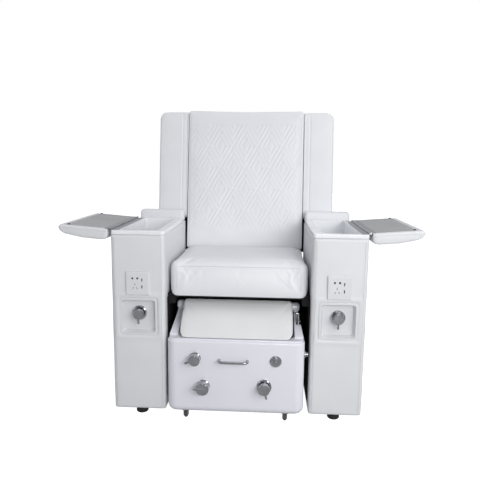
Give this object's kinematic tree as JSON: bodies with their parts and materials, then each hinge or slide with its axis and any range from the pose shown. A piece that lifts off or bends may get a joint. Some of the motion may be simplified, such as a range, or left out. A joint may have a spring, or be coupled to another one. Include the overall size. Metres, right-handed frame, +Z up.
{
  "type": "pedicure spa chair",
  "caption": "Upholstered spa chair with storage arms under flip lids, quilted reclining back and a pull-out foot tub with hinged footrest.",
  "frame": {"origin": "bottom centre of the whole chair on the floor, lids open", "axes": "+X from the left arm to the right arm as seen from the front, +Y to the rear, +Z up; the sitter faces -Y"},
  "size_m": [1.311, 0.7205, 1.1683],
  "materials": {
    "leather_white": "satin",
    "leather_arm": "satin",
    "leather_footrest": "satin",
    "gloss_white": "gloss",
    "tub_white": "gloss",
    "socket_white": "satin",
    "tray_grey": "matte",
    "dark_plastic": "matte",
    "chrome": "polished",
    "steel": "brushed",
    "hinge_grey": "satin",
    "black_steel": "satin",
    "black_board": "matte",
    "rubber_black": "matte",
    "wheel_rubber": "satin"
  },
  "bodies": {
    "chair": {"arm_shell_left": "leather_arm", "arm_bin_left": "gloss_white", "arm_rear_pad_left": "leather_white", "socket_plate_left": "socket_white", "control_dish_left": "socket_white", "arm_valve_left": "chrome", "hinge_leaf_left": "hinge_grey", "arm_shell_right": "leather_arm", "arm_bin_right": "gloss_white", "arm_rear_pad_right": "leather_white", "socket_plate_right": "socket_white", "control_dish_right": "socket_white", "arm_valve_right": "chrome", "hinge_leaf_right": "hinge_grey", "socket_inserts": "dark_plastic", "arm_feet": "rubber_black", "seat_frame": "black_steel", "seat_deck": "black_board", "seat_cushion": "leather_white", "bay_sides": "black_board", "bay_rear_panel": "black_board", "recline_brackets": "steel", "recline_pins": "steel"},
    "lid_left": {"lid_leaf_left": "hinge_grey", "lid_pad_left": "leather_arm", "lid_tray_left": "tray_grey", "lid_bumpers_left": "rubber_black"},
    "lid_right": {"lid_leaf_right": "hinge_grey", "lid_pad_right": "leather_arm", "lid_tray_right": "tray_grey", "lid_bumpers_right": "rubber_black"},
    "back": {"back_pad": "leather_white", "back_wing_left": "leather_white", "back_wing_right": "leather_white", "back_shell": "leather_white", "back_rear_panel": "leather_white", "back_frame": "black_steel"},
    "tub": {"tub_casing": "tub_white", "tub_bowl": "tub_white", "tub_hood": "tub_white", "tub_drain": "chrome", "tub_jet_cover": "chrome", "tub_jet_motor": "dark_plastic", "tub_valves": "chrome", "tub_air_bezel": "chrome", "tub_handle": "chrome", "tub_spout": "chrome", "tub_hose_fitting": "chrome", "tub_casters": "steel"},
    "footrest": {"footrest_pad": "leather_footrest", "footrest_board": "dark_plastic"},
    "air_button": {"tub_air_button": "chrome"},
    "knob_upper_left": {"tub_knob_upper_left": "chrome"},
    "knob_lower_left": {"tub_knob_lower_left": "chrome"},
    "knob_lower_right": {"tub_knob_lower_right": "chrome"},
    "knob_arm_left": {"arm_knob_left": "chrome"},
    "knob_arm_right": {"arm_knob_right": "chrome"},
    "wheels_front": {"tub_wheels_front": "wheel_rubber"},
    "wheels_rear": {"tub_wheels_rear": "wheel_rubber"}
  },
  "joints": [
    {"name": "lid_left_hinge", "type": "hinge", "parent": "chair", "child": "lid_left", "pos_m": [-0.4652, -0.0729, 0.702], "axis": [0, 1, 0], "range_deg": [0, 175]},
    {"name": "lid_right_hinge", "type": "hinge", "parent": "chair", "child": "lid_right", "pos_m": [0.4652, -0.0729, 0.702], "axis": [0, -1, 0], "range_deg": [0, 175]},
    {"name": "back_recline", "type": "hinge", "parent": "chair", "child": "back", "pos_m": [0, 0.1891, 0.54], "axis": [-1, 0, 0], "range_deg": [0, 35]},
    {"name": "tub_slide", "type": "slide", "parent": "chair", "child": "tub", "axis": [0, -1, 0], "range_m": [0, 0.35]},
    {"name": "footrest_hinge", "type": "hinge", "parent": "tub", "child": "footrest", "pos_m": [-0.0045, -0.1579, 0.397], "axis": [-1, 0, 0], "range_deg": [0, 40]},
    {"name": "knob_upper_left_turn", "type": "hinge", "parent": "tub", "child": "knob_upper_left", "pos_m": [-0.15, -0.3449, 0.245], "axis": [0, 1, 0], "range_deg": [-90, 90]},
    {"name": "knob_lower_left_turn", "type": "hinge", "parent": "tub", "child": "knob_lower_left", "pos_m": [-0.12, -0.3449, 0.14], "axis": [0, 1, 0], "range_deg": [-45, 45]},
    {"name": "knob_lower_right_turn", "type": "hinge", "parent": "tub", "child": "knob_lower_right", "pos_m": [0.101, -0.3449, 0.143], "axis": [0, 1, 0], "range_deg": [-45, 45]},
    {"name": "air_button_press", "type": "slide", "parent": "tub", "child": "air_button", "axis": [0, 1, 0], "range_m": [0, 0.004], "stiffness_N_per_m": 400},
    {"name": "knob_arm_left_turn", "type": "hinge", "parent": "chair", "child": "knob_arm_left", "pos_m": [-0.3625, -0.2739, 0.393], "axis": [0, 1, 0], "range_deg": [-45, 45]},
    {"name": "knob_arm_right_turn", "type": "hinge", "parent": "chair", "child": "knob_arm_right", "pos_m": [0.3625, -0.2739, 0.393], "axis": [0, 1, 0], "range_deg": [-45, 45]},
    {"name": "wheels_front_roll", "type": "hinge", "parent": "tub", "child": "wheels_front", "pos_m": [-0.0045, -0.2879, 0.014], "axis": [1, 0, 0], "range_deg": [-60, 1500]},
    {"name": "wheels_rear_roll", "type": "hinge", "parent": "tub", "child": "wheels_rear", "pos_m": [-0.0045, 0.0041, 0.014], "axis": [1, 0, 0], "range_deg": [-60, 1500]}
  ],
  "couplings": [
    {"joint": "wheels_front_roll", "follows": "tub_slide", "rad_per_m": 71.429},
    {"joint": "wheels_rear_roll", "follows": "tub_slide", "rad_per_m": 71.429}
  ]
}
